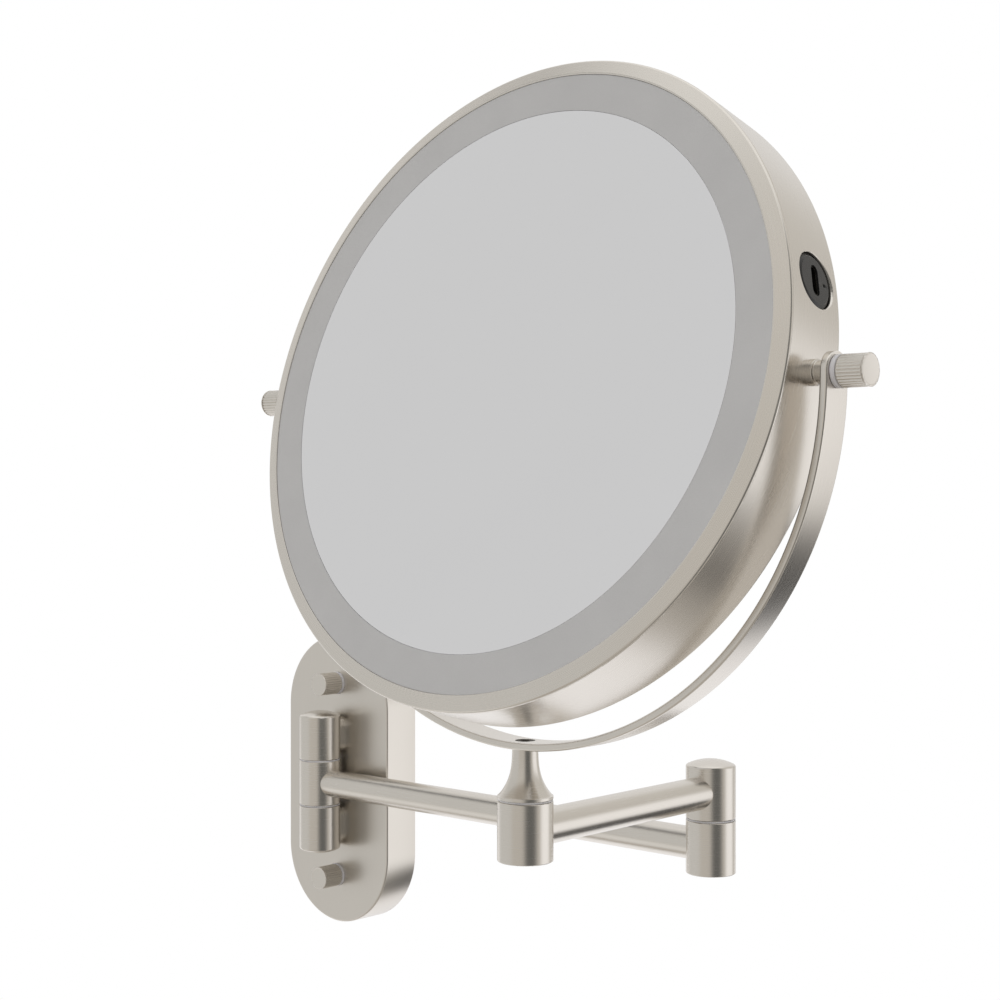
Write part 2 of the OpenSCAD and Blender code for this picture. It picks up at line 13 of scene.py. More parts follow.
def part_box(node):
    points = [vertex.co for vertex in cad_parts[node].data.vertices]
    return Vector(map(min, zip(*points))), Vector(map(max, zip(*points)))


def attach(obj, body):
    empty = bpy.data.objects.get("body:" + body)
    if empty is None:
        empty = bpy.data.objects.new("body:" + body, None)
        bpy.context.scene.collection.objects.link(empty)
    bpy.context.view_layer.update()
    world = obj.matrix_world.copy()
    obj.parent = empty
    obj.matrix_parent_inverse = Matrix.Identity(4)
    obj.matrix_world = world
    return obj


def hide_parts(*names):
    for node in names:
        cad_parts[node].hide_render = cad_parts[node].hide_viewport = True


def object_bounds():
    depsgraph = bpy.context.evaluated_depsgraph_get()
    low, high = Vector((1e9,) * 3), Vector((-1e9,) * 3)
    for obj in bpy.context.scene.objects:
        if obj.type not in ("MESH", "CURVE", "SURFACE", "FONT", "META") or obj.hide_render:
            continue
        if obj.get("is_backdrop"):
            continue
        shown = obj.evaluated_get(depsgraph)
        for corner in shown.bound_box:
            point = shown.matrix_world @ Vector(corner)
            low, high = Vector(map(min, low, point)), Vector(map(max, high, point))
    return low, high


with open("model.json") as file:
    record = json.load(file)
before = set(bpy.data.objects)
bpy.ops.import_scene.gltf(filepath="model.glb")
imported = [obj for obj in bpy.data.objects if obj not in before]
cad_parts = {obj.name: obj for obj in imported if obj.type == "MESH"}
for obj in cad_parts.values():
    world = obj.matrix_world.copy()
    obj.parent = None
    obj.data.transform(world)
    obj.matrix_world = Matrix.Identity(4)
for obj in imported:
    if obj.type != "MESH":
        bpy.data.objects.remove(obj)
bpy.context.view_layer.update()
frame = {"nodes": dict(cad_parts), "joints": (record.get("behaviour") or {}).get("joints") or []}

mm = 0.001
joints = {joint["name"]: Vector(joint["pos_m"]) for joint in frame["joints"]}

# ---- Wall cover ----
# A deep-drawn steel cup with round ends. Its front edge is rounded by the press, its face is brushed
# up and down, and it is nickel plated. It hides the bracket and is held by two knurled nuts.

def deselect():
    bpy.ops.object.select_all(action="DESELECT")


def edit(piece):
    deselect()
    piece.select_set(True)
    bpy.context.view_layer.objects.active = piece
    bpy.ops.object.mode_set(mode="EDIT")
    bpy.ops.mesh.select_mode(type="VERT")
    bpy.ops.mesh.select_all(action="DESELECT")
    bpy.ops.object.mode_set(mode="OBJECT")
    bpy.ops.object.mode_set(mode="EDIT")


def pick(piece, part, test):
    """Selects the parts of a piece in edit mode that pass a test of their middle and normal."""
    bpy.ops.mesh.select_mode(type={"vertices": "VERT", "edges": "EDGE", "polygons": "FACE"}[part])
    bpy.ops.mesh.select_all(action="DESELECT")
    bpy.ops.object.mode_set(mode="OBJECT")
    corners = piece.data.vertices
    for item in getattr(piece.data, part):
        if part == "vertices":
            item.select = test(item.co, item.normal)
        elif part == "edges":
            a, b = (corners[i].co for i in item.vertices)
            item.select = test((a + b) / 2, (b - a).normalized())
        else:
            item.select = test(item.center, item.normal)
    bpy.ops.object.mode_set(mode="EDIT")


def apply_all(piece):
    deselect()
    piece.select_set(True)
    bpy.context.view_layer.objects.active = piece
    for modifier in list(piece.modifiers):
        bpy.ops.object.modifier_apply(modifier=modifier.name)


def round_edges(piece, width, segments=3, angle=35):
    """Rounds every edge that turns by more than an angle, and keeps the flats beside it flat."""
    bevel = piece.modifiers.new("edge", "BEVEL")
    bevel.width = width
    bevel.segments = segments
    bevel.limit_method = "ANGLE"
    bevel.angle_limit = radians(angle)
    bevel.harden_normals = True
    bevel.use_clamp_overlap = True


def finish_piece(piece, name, body, nodes, material):
    """Applies what is left to apply, smooths the piece and puts it on its body in place of its CAD nodes."""
    piece.name = name
    piece.data.name = name
    deselect()
    piece.select_set(True)
    bpy.context.view_layer.objects.active = piece
    bpy.ops.object.transform_apply(location=True, rotation=True, scale=True)
    bpy.ops.object.shade_smooth_by_angle(angle=radians(40))
    flats = piece.modifiers.new("flats", "WEIGHTED_NORMAL")
    flats.keep_sharp = True
    apply_all(piece)
    piece.data.materials.clear()
    piece.data.materials.append(material)
    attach(piece, body)
    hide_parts(*nodes)
    return piece


def new_group(name, inputs, outputs):
    """A shader node group with named sockets, and its input and output nodes."""
    group = bpy.data.node_groups.new(name, "ShaderNodeTree")
    for label, kind in inputs:
        group.interface.new_socket(label, in_out="INPUT", socket_type="NodeSocket" + kind)
    for label, kind in outputs:
        group.interface.new_socket(label, in_out="OUTPUT", socket_type="NodeSocket" + kind)
    return group, group.nodes.new("NodeGroupInput"), group.nodes.new("NodeGroupOutput")


def put(tree, kind, inputs=(), **settings):
    """Adds a node, sets its properties, and fills its numbered or named inputs with values or links."""
    node = tree.nodes.new(kind)
    for key, value in settings.items():
        setattr(node, key, value)
    for key, value in dict(inputs).items():
        if isinstance(value, bpy.types.NodeSocket):
            tree.links.new(value, node.inputs[key])
        else:
            node.inputs[key].default_value = value
    return node


def remap(tree, value, low, high, new_low, new_high):
    """Clamps a value to a range and stretches that range to another."""
    return put(tree, "ShaderNodeMapRange", {0: value, 1: low, 2: high, 3: new_low, 4: new_high}).outputs[0]


def blend_colours(tree, share, first, second):
    mix = put(tree, "ShaderNodeMix", {0: share, 6: first, 7: second}, data_type="RGBA")
    return mix.outputs[2]


def make_brush_group():
    """Fine parallel scratches. Stretch is how often they repeat along each axis, per metre."""
    group, given, result = new_group(
        "brush lines", [("Vector", "Vector"), ("Stretch", "Vector")], [("Lines", "Float"), ("Cloud",
                                                                                            "Float")])
    stretched = put(group, "ShaderNodeVectorMath", {0: given.outputs["Vector"], 1: given.outputs["Stretch"]},
                    operation="MULTIPLY")
    lines = put(group, "ShaderNodeTexNoise", {"Vector": stretched.outputs[0], "Scale": 1.0, "Detail": 2.0,
                                              "Roughness": 0.5})
    cloud = put(group, "ShaderNodeTexNoise", {"Vector": given.outputs["Vector"], "Scale": 38.0,
                                              "Detail": 2.0})
    group.links.new(lines.outputs["Fac"], result.inputs["Lines"])
    group.links.new(cloud.outputs["Fac"], result.inputs["Cloud"])
    return group


def make_turned_group():
    """Scratches that run round local Z, as a lathe leaves them, on sides and faces alike."""
    group, given, result = new_group(
        "turned lines", [("Vector", "Vector"), ("Fineness", "Float")], [("Lines", "Float"), ("Cloud",
                                                                                             "Float")])
    part = put(group, "ShaderNodeSeparateXYZ", {0: given.outputs["Vector"]})
    flat = put(group, "ShaderNodeCombineXYZ", {0: part.outputs[0], 1: part.outputs[1]})
    radius = put(group, "ShaderNodeVectorMath", {0: flat.outputs[0]}, operation="LENGTH")
    across = put(group, "ShaderNodeMath", {0: radius.outputs["Value"], 1: given.outputs["Fineness"]},
                 operation="MULTIPLY")
    along = put(group, "ShaderNodeMath", {0: part.outputs[2], 1: given.outputs["Fineness"]},
                operation="MULTIPLY")
    drift = put(group, "ShaderNodeVectorMath", {0: flat.outputs[0], 1: (45.0, 45.0, 0.0)},
                operation="MULTIPLY")
    lanes = put(group, "ShaderNodeCombineXYZ", {0: across.outputs[0], 1: 0.0, 2: along.outputs[0]})
    where = put(group, "ShaderNodeVectorMath", {0: lanes.outputs[0], 1: drift.outputs[0]}, operation="ADD")
    lines = put(group, "ShaderNodeTexNoise", {"Vector": where.outputs[0], "Scale": 1.0, "Detail": 2.0,
                                              "Roughness": 0.5})
    cloud = put(group, "ShaderNodeTexNoise", {"Vector": given.outputs["Vector"], "Scale": 38.0,
                                              "Detail": 2.0})
    group.links.new(lines.outputs["Fac"], result.inputs["Lines"])
    group.links.new(cloud.outputs["Fac"], result.inputs["Cloud"])
    return group


def make_wear_and_highlight_group():
    """A mask of the outer edges, broken up by noise, that lightens them: partly polish from handling, partly
    a painted highlight.
    """
    group, given, result = new_group("edge wear", [("Width", "Float"), ("Vector", "Vector")], [("Wear",
                                                                                                "Float")])
    rounded = put(group, "ShaderNodeBevel", {"Radius": given.outputs["Width"]}, samples=4)
    geometry = put(group, "ShaderNodeNewGeometry")
    same = put(group, "ShaderNodeVectorMath", {0: rounded.outputs[0], 1: geometry.outputs["Normal"]},
               operation="DOT_PRODUCT")
    edge = remap(group, same.outputs["Value"], 0.99, 0.8, 0.0, 1.0)
    patches = put(group, "ShaderNodeTexNoise", {"Vector": given.outputs["Vector"], "Scale": 260.0,
                                                "Detail": 3.0})
    broken = remap(group, patches.outputs["Fac"], 0.35, 0.6, 0.35, 1.0)
    worn_and_lit = put(group, "ShaderNodeMath", {0: edge, 1: broken}, operation="MULTIPLY")
    group.links.new(worn_and_lit.outputs[0], result.inputs["Wear"])
    return group


brush_lines = make_brush_group()
turned_lines = make_turned_group()
edge_wear_and_highlight = make_wear_and_highlight_group()

NICKEL_LIGHT = (0.77, 0.735, 0.685, 1)
NICKEL_DARK = (0.75, 0.715, 0.665, 1)
NICKEL_WORN_AND_LIT = (0.84, 0.815, 0.78, 1)


def nickel(name, middle=(0, 0, 0), turn=(0, 0, 0), stretch=None, fineness=5200, rough=(0.25, 0.275)):
    """Satin nickel plate. With a stretch it is brushed in straight lines, and without one round local Z.

    Middle and turn place the pattern: the point it is centred on, and the piece's own lean.
    """
    material = bpy.data.materials.new(name)
    material.use_nodes = True
    tree = material.node_tree
    shader = tree.nodes["Principled BSDF"]
    place = put(tree, "ShaderNodeTexCoord").outputs["Object"]
    centred = put(tree, "ShaderNodeMapping", {"Location": middle, "Rotation": turn, "Vector": place},
                  vector_type="TEXTURE").outputs[0]
    if stretch:
        lines = put(tree, "ShaderNodeGroup", {}, node_tree=brush_lines)
        lines.inputs["Stretch"].default_value = stretch
    else:
        lines = put(tree, "ShaderNodeGroup", {}, node_tree=turned_lines)
        lines.inputs["Fineness"].default_value = fineness
    tree.links.new(centred, lines.inputs["Vector"])
    wear_and_highlight = put(tree, "ShaderNodeGroup", {}, node_tree=edge_wear_and_highlight)
    wear_and_highlight.inputs["Width"].default_value = 0.5 * mm
    tree.links.new(centred, wear_and_highlight.inputs["Vector"])
    tint = put(tree, "ShaderNodeMath", {0: lines.outputs["Lines"], 1: lines.outputs["Cloud"]},
               operation="ADD")
    plate = blend_colours(tree, remap(tree, tint.outputs[0], 0.7, 1.3, 0.0, 1.0), NICKEL_DARK, NICKEL_LIGHT)
    # Lighter towards the edges: partly polish wear, partly a painted highlight.
    colour = blend_colours(tree, wear_and_highlight.outputs["Wear"], plate, NICKEL_WORN_AND_LIT)
    tree.links.new(colour, shader.inputs["Base Color"])
    satin = remap(tree, lines.outputs["Lines"], 0.3, 0.7, rough[0], rough[1])
    polish = put(tree, "ShaderNodeMath", {0: wear_and_highlight.outputs["Wear"], 1: 0.07}, operation="MULTIPLY")
    roughness = put(tree, "ShaderNodeMath", {0: satin, 1: polish.outputs[0]}, operation="SUBTRACT")
    tree.links.new(roughness.outputs[0], shader.inputs["Roughness"])
    bump = put(tree, "ShaderNodeBump", {"Strength": 0.015, "Distance": 0.02 * mm,
                                        "Height": lines.outputs["Lines"]})
    tree.links.new(bump.outputs[0], shader.inputs["Normal"])
    shader.inputs["Metallic"].default_value = 1.0
    return material


fine = 5200
long = 55
upright_nickel = nickel("nickel brushed upright", stretch=(fine, fine, long), rough=(0.29, 0.33))

cover_low, cover_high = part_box("wall_cover")
cover_size = cover_high - cover_low
cover_face = cover_low.y
cover_wall = 1.6 * mm
deselect()
bpy.ops.mesh.primitive_cube_add(size=1, location=(cover_low + cover_high) / 2, scale=cover_size)
cover = bpy.context.object
bpy.ops.object.transform_apply(location=True, rotation=True, scale=True)
edit(cover)
pick(cover, "edges", lambda middle, way: abs(way.y) > 0.9)
bpy.ops.mesh.bevel(offset=cover_size.x / 2 - 0.001 * mm, segments=40, affect="EDGES")
bpy.ops.mesh.select_all(action="SELECT")
bpy.ops.mesh.remove_doubles(threshold=0.01 * mm)
pick(cover, "polygons", lambda middle, way: way.y > 0.9)
bpy.ops.mesh.delete(type="FACE")
pick(cover, "edges", lambda middle, way: middle.y < cover_face + 0.1 * mm)
bpy.ops.mesh.bevel(offset=0.8 * mm, segments=5, affect="EDGES")
bpy.ops.object.mode_set(mode="OBJECT")
shell = cover.modifiers.new("sheet", "SOLIDIFY")
shell.thickness = cover_wall
shell.offset = -1
finish_piece(cover, "cover", "wall_plate", ["wall_cover"], upright_nickel)

# ---- Bracket, studs and hinge screws behind the cover ----
# A zinc-plated steel strip with round ends, screwed to the wall, and two studs pressed into it.
# They are seen only from behind, so the solids stay as they are and get the dull, mottled zinc.

def zinc(name, dull=(0.42, 0.43, 0.45, 1), bright=(0.60, 0.60, 0.61, 1), grain=900.0):
    material = bpy.data.materials.new(name)
    material.use_nodes = True
    tree = material.node_tree
    shader = tree.nodes["Principled BSDF"]
    place = put(tree, "ShaderNodeTexCoord").outputs["Object"]
    flakes = put(tree, "ShaderNodeTexVoronoi", {"Vector": place, "Scale": grain})
    haze = put(tree, "ShaderNodeTexNoise", {"Vector": place, "Scale": 120.0, "Detail": 4.0})
    wear_and_highlight = put(tree, "ShaderNodeGroup", {}, node_tree=edge_wear_and_highlight)
    wear_and_highlight.inputs["Width"].default_value = 0.3 * mm
    tree.links.new(place, wear_and_highlight.inputs["Vector"])
    base = blend_colours(tree, haze.outputs["Fac"], dull, bright)
    # Lighter on the edges: partly rubbed wear, partly a painted highlight.
    rubbed_and_lit = tuple(1.2 * value for value in bright[:3]) + (1,)
    colour = blend_colours(tree, wear_and_highlight.outputs["Wear"], base, rubbed_and_lit)
    tree.links.new(colour, shader.inputs["Base Color"])
    tree.links.new(remap(tree, haze.outputs["Fac"], 0.3, 0.7, 0.32, 0.5), shader.inputs["Roughness"])
    bump = put(tree, "ShaderNodeBump", {"Strength": 0.08, "Distance": 0.02 * mm,
                                        "Height": flakes.outputs["Distance"]})
    tree.links.new(bump.outputs[0], shader.inputs["Normal"])
    shader.inputs["Metallic"].default_value = 1.0
    return material


zinc_steel = zinc("zinc plated steel")


def paint(material, *nodes):
    for node in nodes:
        slots = frame["nodes"][node].data.materials
        slots.clear()
        slots.append(material)


paint(zinc_steel, "wall_bracket", "cover_studs", "knuckle_screws", "hinge_pin")

# ---- Cover nuts and their nylon rings ----
# Two turned nickel nuts with straight knurls and a plain rim, screwed on the studs that pass the cover.
# A thin nylon ring under each keeps it from scratching the plate.

def turned(profile, steps=96, closed=False):
    """A turned part: the (radius, height) points of its profile spun round Z. Its ends close on the axis."""
    deselect()
    bpy.ops.mesh.primitive_plane_add(size=mm)
    piece = bpy.context.object
    bpy.ops.object.mode_set(mode="EDIT")
    bpy.ops.mesh.select_mode(type="VERT")
    bpy.ops.mesh.select_all(action="SELECT")
    bpy.ops.mesh.merge(type="CENTER")
    points = [Vector((radius, 0, height)) for radius, height in profile]
    bpy.ops.transform.translate(value=points[0])
    for before, after in zip(points, points[1:]):
        bpy.ops.mesh.extrude_vertices_move(TRANSFORM_OT_translate={"value": after - before})
    if closed:
        bpy.ops.mesh.select_all(action="SELECT")
        bpy.ops.mesh.select_all(action="DESELECT")
        bpy.ops.object.mode_set(mode="OBJECT")
        piece.data.vertices[0].select = True
        piece.data.vertices[len(piece.data.vertices) - 1].select = True
        bpy.ops.object.mode_set(mode="EDIT")
        bpy.ops.mesh.edge_face_add()
    bpy.ops.mesh.select_all(action="SELECT")
    bpy.ops.mesh.spin(steps=steps, angle=2 * pi, center=(0, 0, 0), axis=(0, 0, 1))
    bpy.ops.mesh.select_all(action="SELECT")
    bpy.ops.mesh.remove_doubles(threshold=0.002 * mm)
    bpy.ops.mesh.normals_make_consistent(inside=False)
    bpy.ops.object.mode_set(mode="OBJECT")
    return piece


def place_piece(piece, where, turn=(0, 0, 0)):
    """Turns a piece that was made at the origin and moves it to its place."""
    deselect()
    piece.select_set(True)
    bpy.context.view_layer.objects.active = piece
    piece.rotation_euler = turn
    piece.location = where
    bpy.ops.object.transform_apply(location=True, rotation=True, scale=True)
    return piece


def ring_profile(inner, outer, low, high):
    return [(inner, low), (outer, low), (outer, high), (inner, high)]


def joined(name, *pieces):
    """Joins several meshes into the first."""
    deselect()
    for piece in pieces:
        piece.select_set(True)
    bpy.context.view_layer.objects.active = pieces[0]
    bpy.ops.object.join()
    pieces[0].name = name
    return pieces[0]


flutes = 28
around_flute = 6
flute_depth = 0.36 * mm


def knurled(radius, low, high):
    """A grip with rounded ridges and narrow straight grooves, from low to high on Z."""
    deselect()
    bpy.ops.mesh.primitive_cylinder_add(vertices=flutes * around_flute, radius=radius, depth=high - low,
                                        location=(0, 0, (low + high) / 2), end_fill_type="NGON")
    piece = bpy.context.object
    bpy.ops.object.transform_apply(location=True, rotation=True, scale=True)
    edit(piece)
    for offset, drop in ((0, 1.0), (1, 0.30), (5, 0.30)):
        def in_groove(corner, way, offset=offset):
            turn = atan2(corner.y, corner.x) / (2 * pi) * flutes * around_flute
            return round(turn) % around_flute == offset
        pick(piece, "vertices", in_groove)
        shrink = 1 - drop * flute_depth / radius
        bpy.ops.transform.resize(value=(shrink, shrink, 1), center_override=(0, 0, 0))
    bpy.ops.object.mode_set(mode="OBJECT")
    round_edges(piece, 0.12 * mm, segments=2, angle=60)
    apply_all(piece)
    return piece


rim_height = 0.45 * mm


def grip(radius, length):
    """A knurled grip on Z from its seat at 0: a foot, the knurls, and a rim with a turned face."""
    foot = turned([(0, 0), (radius - 0.35 * mm, 0), (radius - 0.35 * mm, 0.5 * mm), (0, 0.5 * mm)])
    knurls = knurled(radius - 0.06 * mm, 0.3 * mm, length - rim_height - 0.14 * mm)
    neck = length - rim_height - 0.3 * mm
    top = turned([(0, neck), (radius - 0.42 * mm, neck), (radius - 0.42 * mm, length - rim_height),
                  (radius, length - rim_height), (radius, length), (radius - 0.55 * mm, length),
                  (radius - 0.68 * mm, length - 0.07 * mm), (0, length - 0.05 * mm)])
    for piece in (foot, top):
        round_edges(piece, 0.12 * mm, segments=2)
        apply_all(piece)
    return joined("grip", knurls, foot, top)


def nylon(name):
    """Off-white nylon: faintly cloudy, satin, with a little light let through at its edges."""
    material = bpy.data.materials.new(name)
    material.use_nodes = True
    tree = material.node_tree
    shader = tree.nodes["Principled BSDF"]
    place = put(tree, "ShaderNodeTexCoord").outputs["Object"]
    cloud = put(tree, "ShaderNodeTexNoise", {"Vector": place, "Scale": 420.0, "Detail": 3.0})
    pits = put(tree, "ShaderNodeTexNoise", {"Vector": place, "Scale": 5200.0, "Detail": 2.0})
    colour = blend_colours(tree, cloud.outputs["Fac"], (0.88, 0.875, 0.92, 1), (0.94, 0.935, 0.98, 1))
    tree.links.new(colour, shader.inputs["Base Color"])
    tree.links.new(remap(tree, pits.outputs["Fac"], 0.3, 0.7, 0.38, 0.52), shader.inputs["Roughness"])
    bump = put(tree, "ShaderNodeBump", {"Strength": 0.10, "Distance": 0.02 * mm,
                                        "Height": pits.outputs["Fac"]})
    tree.links.new(bump.outputs[0], shader.inputs["Normal"])
    shader.inputs["Subsurface Weight"].default_value = 0.12
    shader.inputs["Subsurface Radius"].default_value = (0.6 * mm, 0.6 * mm, 0.7 * mm)
    return material


nylon_white = nylon("nylon")
outward = (radians(90), 0, 0)
nuts_low, nuts_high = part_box("cover_nuts")
rings_low, rings_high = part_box("nut_rings")
nut_radius = (nuts_high.x - nuts_low.x) / 2
stud_height = nuts_high.z - nut_radius
ring_radius = (rings_high.x - rings_low.x) / 2
nut_nickel = nickel("nickel nuts", stretch=(fine, long, fine))
for side, name in ((1, "upper"), (-1, "lower")):
    nut = grip(nut_radius, nuts_high.y - nuts_low.y)
    place_piece(nut, (0, nuts_high.y, side * stud_height), outward)
    finish_piece(nut, name + "_cover_nut", "wall_plate", ["cover_nuts"], nut_nickel)
    nylon_ring = turned(ring_profile(2.8 * mm, ring_radius, 0, rings_high.y - rings_low.y), closed=True)
    round_edges(nylon_ring, 0.2 * mm)
    place_piece(nylon_ring, (0, rings_high.y, side * stud_height), outward)
    finish_piece(nylon_ring, name + "_nut_ring", "wall_plate", ["nut_rings"], nylon_white)

# ---- Hinge knuckles ----
# Two solid turned barrels with domed ends, fixed above and below the inner arm's barrel.
# A narrow foot stands each off the cover, and nylon washers fill the gaps between the barrels.

barrel_low, barrel_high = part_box("inner_hinge_barrel")
barrel_radius = (barrel_high.x - barrel_low.x) / 2
barrel_half = (barrel_high.z - barrel_low.z) / 2
hinge_axis = Vector(((barrel_low.x + barrel_high.x) / 2, (barrel_low.y + barrel_high.y) / 2, 0))
knuckle_low, knuckle_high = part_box("upper_knuckle")
dome_rise = knuckle_high.z - knuckle_low.z - 2 * barrel_half
barrel_corner = 0.4 * mm
foot_width = 10 * mm
foot_inset = 1.2 * mm
foot_height = 5 * mm


def barrel_profile(low, high, dome=0.0):
    """The outline of a barrel from its foot to its top, which may be domed."""
    points = [(0, low), (barrel_radius, low), (barrel_radius, high - barrel_corner)]
    if not dome:
        return points[:2] + [(barrel_radius, high), (0, high)]
    cap = barrel_radius - barrel_corner
    bend = (cap ** 2 + dome ** 2) / (2 * dome)
    widest = asin(cap / bend)
    steps = 12
    for step in range(steps + 1):
        lean = widest * (1 - step / steps)
        points.append((bend * sin(lean), high + dome - bend * (1 - cos(lean))))
    return points


def barrel(low, high, dome=0.0):
    piece = turned(barrel_profile(low, high, dome))
    round_edges(piece, 0.35 * mm, segments=3, angle=22)
    apply_all(piece)
    return piece


def stadium_bar(width, height, depth, middle):
    """A bar with round short sides: Y is its width, X its height, and Z its depth."""
    deselect()
    bpy.ops.mesh.primitive_cube_add(size=1, location=middle, scale=(height, width, depth))
    bar = bpy.context.object
    bpy.ops.object.transform_apply(location=True, rotation=True, scale=True)
    edit(bar)
    pick(bar, "edges", lambda middle, way: abs(way.z) > 0.9)
    bpy.ops.mesh.bevel(offset=height / 2 - 0.001 * mm, segments=14, affect="EDGES")
    bpy.ops.mesh.select_all(action="SELECT")
    bpy.ops.mesh.remove_doubles(threshold=0.005 * mm)
    bpy.ops.object.mode_set(mode="OBJECT")
    return bar


hinge_nickel = nickel("nickel hinge", middle=hinge_axis)
for side, name in ((1, "upper"), (-1, "lower")):
    knuckle = barrel(0, 2 * barrel_half, dome_rise)
    if side > 0:
        place_piece(knuckle, (hinge_axis.x, hinge_axis.y, knuckle_low.z))
    else:
        place_piece(knuckle, (hinge_axis.x, hinge_axis.y, -knuckle_low.z), (pi, 0, 0))
    foot = stadium_bar(2 * (barrel_half - foot_inset), foot_width, foot_height, (0, 0, foot_height / 2))
    place_piece(foot, (0, cover_face, side * (knuckle_low.z + barrel_half)), outward)
    knuckle = joined("knuckle", knuckle, foot)
    finish_piece(knuckle, name + "_hinge_knuckle", "wall_plate", [name + "_knuckle"],
                 hinge_nickel)

washer_height = knuckle_low.z - barrel_half
gap = 0.02 * mm


def nylon_washer(name, body, node, axis, low):
    washer = turned(ring_profile(3.6 * mm, barrel_radius - 0.12 * mm, gap, washer_height - gap), closed=True)
    round_edges(washer, 0.15 * mm, segments=2)
    place_piece(washer, (axis.x, axis.y, low))
    finish_piece(washer, name, body, [node], nylon_white)


nylon_washer("upper_hinge_washer", "wall_plate", "hinge_washers", hinge_axis, barrel_half)
nylon_washer("lower_hinge_washer", "wall_plate", "hinge_washers", hinge_axis, -knuckle_low.z)

# ---- Inner arm ----
# A drawn brass tube between two turned barrels, brazed and then polished lengthways and plated.
# The tube's ends are cut to the barrels' curve. The elbow's barrel has a recess for its screw underneath.

tube_low, tube_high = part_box("inner_arm_tube")
tube_radius = (tube_high.z - tube_low.z) / 2
tube_wall = 1.5 * mm
elbow_axis = Vector((joints["elbow"].x, joints["elbow"].y, 0))
post_axis = Vector((joints["post_swivel"].x, joints["post_swivel"].y, 0))


def arm_tube(start, end):
    """A tube between two barrels' axes, with its ends cut to sit on them."""
    deselect()
    length = (end - start).length
    turn = (end - start).to_track_quat("Z", "Y").to_euler()
    bpy.ops.mesh.primitive_cylinder_add(vertices=96, radius=tube_radius, depth=length,
                                        location=(start + end) / 2, rotation=turn, end_fill_type="NOTHING")
    tube = bpy.context.object
    bpy.ops.object.transform_apply(location=True, rotation=True, scale=True)
    wall = tube.modifiers.new("wall", "SOLIDIFY")
    wall.thickness = tube_wall
    wall.offset = -1
    apply_all(tube)
    for axis in (start, end):
        bpy.ops.mesh.primitive_cylinder_add(vertices=192, radius=barrel_radius - 0.05 * mm,
                                            depth=6 * tube_radius,
                                            location=axis)
        cutter = bpy.context.object
        cut = tube.modifiers.new("cope", "BOOLEAN")
        cut.object = cutter
        cut.operation = "DIFFERENCE"
        cut.solver = "EXACT"
        apply_all(tube)
        bpy.data.objects.remove(cutter)
    return tube


inner_height = (tube_low.z + tube_high.z) / 2
inner_tube = arm_tube(hinge_axis + Vector((0, 0, inner_height)), elbow_axis + Vector((0, 0, inner_height)))
inner_nickel = nickel("nickel inner arm", stretch=(long, fine, fine))
finish_piece(inner_tube, "inner_tube", "inner_arm", ["inner_arm_tube"], inner_nickel)

inner_barrel = barrel(-barrel_half, barrel_half)
place_piece(inner_barrel, hinge_axis)
finish_piece(inner_barrel, "inner_barrel", "inner_arm", ["inner_hinge_barrel"],
             hinge_nickel)

recess_radius = 6 * mm
recess_height = 4.4 * mm


def recessed_barrel(low, high):
    """A barrel with a round recess in its underside."""
    piece = turned([(0, low + recess_height), (recess_radius, low + recess_height), (recess_radius, low),
                    (barrel_radius, low), (barrel_radius, high), (0, high)])
    round_edges(piece, 0.35 * mm, segments=3)
    apply_all(piece)
    return piece


elbow_nickel = nickel("nickel elbow", middle=elbow_axis)
elbow_lower = place_piece(recessed_barrel(-barrel_half, barrel_half), elbow_axis)
finish_piece(elbow_lower, "elbow_lower", "inner_arm", ["elbow_lower_barrel"], elbow_nickel)

# ---- Outer arm ----
# The same tube and barrels, one barrel higher, so that it folds over the inner arm.
# Its elbow barrel is domed. The pin pressed into it turns in the barrel below, held by a screw and washer.

nylon_washer("elbow_ring", "outer_arm", "elbow_washer", elbow_axis, barrel_half)
elbow_upper = barrel(0, 2 * barrel_half, dome_rise)
place_piece(elbow_upper, (elbow_axis.x, elbow_axis.y, knuckle_low.z))
finish_piece(elbow_upper, "elbow_upper", "outer_arm", ["elbow_upper_barrel"], elbow_nickel)

outer_low, outer_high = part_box("outer_arm_tube")
outer_height = (outer_low.z + outer_high.z) / 2
outer_tube = arm_tube(elbow_axis + Vector((0, 0, outer_height)), post_axis + Vector((0, 0, outer_height)))
outer_nickel = nickel("nickel outer arm", stretch=(fine, long, fine))
finish_piece(outer_tube, "outer_tube", "outer_arm", ["outer_arm_tube"], outer_nickel)

post_nickel = nickel("nickel post", middle=post_axis)
post_sleeve = place_piece(recessed_barrel(knuckle_low.z, knuckle_low.z + 2 * barrel_half), post_axis)
finish_piece(post_sleeve, "post_sleeve", "outer_arm", ["post_barrel"], post_nickel)


def cross_screw(head_radius, head_height):
    """The head of a cross-recess screw, its face towards -Z and its seat at 0."""
    head = turned([(0, 0), (head_radius, 0), (head_radius, -0.55 * head_height),
                   (0.82 * head_radius, -0.88 * head_height), (0.45 * head_radius, -head_height), (0,
                       -head_height)])
    round_edges(head, 0.15 * mm, segments=2, angle=18)
    apply_all(head)
    for lean in (0, pi / 2):
        bpy.ops.mesh.primitive_cube_add(size=1, location=(0, 0, -head_height), rotation=(0, 0, lean),
                                        scale=(head_radius, head_radius / 4, head_height))
        cutter = bpy.context.object
        cut = head.modifiers.new("cross", "BOOLEAN")
        cut.object = cutter
        cut.operation = "DIFFERENCE"
        cut.solver = "EXACT"
        apply_all(head)
        bpy.data.objects.remove(cutter)
    return head


